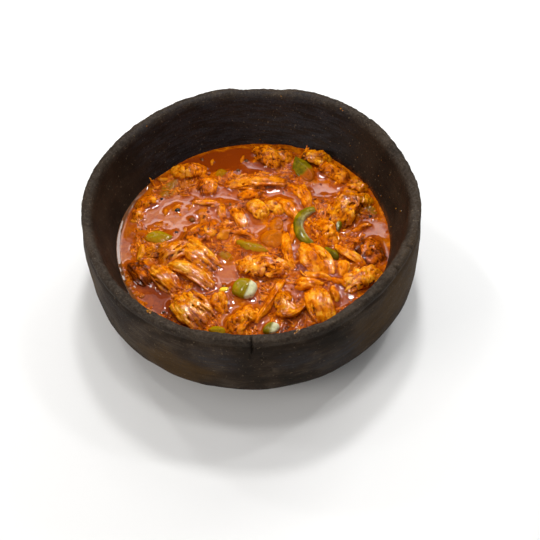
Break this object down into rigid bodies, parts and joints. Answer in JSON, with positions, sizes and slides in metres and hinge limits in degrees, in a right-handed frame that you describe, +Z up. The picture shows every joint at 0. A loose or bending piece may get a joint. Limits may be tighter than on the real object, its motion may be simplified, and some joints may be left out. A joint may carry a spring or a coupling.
{
  "type": "pot of shredded meat stew",
  "caption": "Round hand-formed dark clay pot filled with shredded meat stew: meat, green pepper and onion in a red-orange broth, with peppercorns.",
  "frame": {"origin": "middle of the pot's flat foot, on the surface it stands on", "axes": "+Z up along the pot's axis, -Y the side seen in front, +X to the right"},
  "size_m": [0.2432, 0.2451, 0.084],
  "materials": {
    "clay": "matte",
    "broth": "gloss",
    "meat": "satin",
    "pepper": "gloss",
    "onion": "gloss"
  },
  "bodies": {
    "root": {"broth": "broth", "meat_back_right_peak": "meat", "meat_back_right_slope": "meat", "meat_back_wall": "meat", "meat_bits_front_left": "meat", "meat_center_front": "meat", "meat_corner_back_left": "meat", "meat_dark_left": "meat", "meat_dark_round": "meat", "meat_front_left_lump": "meat", "meat_front_wall": "meat", "meat_inside_ring": "meat", "meat_left_crown": "meat", "meat_left_edge": "meat", "meat_left_frayed": "meat", "meat_left_inner": "meat", "meat_left_middle": "meat", "meat_left_outer": "meat", "meat_left_wall_back": "meat", "meat_long_back": "meat", "meat_long_front_shred": "meat", "meat_loop_front": "meat", "meat_lump_front": "meat", "meat_orange_back_left": "meat", "meat_pale_shred": "meat", "meat_ridged_front": "meat", "meat_ridged_small": "meat", "meat_right_front": "meat", "meat_right_mass": "meat", "meat_right_wall": "meat", "meat_right_wall_tan": "meat", "meat_short_shred_front": "meat", "meat_short_shred_right": "meat", "meat_shred_by_ring": "meat", "meat_shred_right": "meat", "meat_shreds_center": "meat", "meat_slab_center": "meat", "meat_smooth_right": "meat", "meat_splinter_back": "meat", "meat_splinter_left": "meat", "meat_strip_center": "meat", "meat_strips_back_right": "meat", "meat_thick_shred": "meat", "meat_thin_center": "meat", "meat_under_long_back": "meat", "meat_yellow_back_left": "meat", "meat_yellow_center": "meat", "onion_center": "onion", "onion_left_strip": "onion", "onion_triangle": "onion", "pepper_back": "pepper", "pepper_center": "pepper", "pepper_dark": "pepper", "pepper_dome": "pepper", "pepper_front_left": "pepper", "pepper_front_wall": "pepper", "pepper_gray_right": "pepper", "pepper_left": "pepper", "pepper_ring": "pepper", "pot": "clay"}
  },
  "joints": []
}
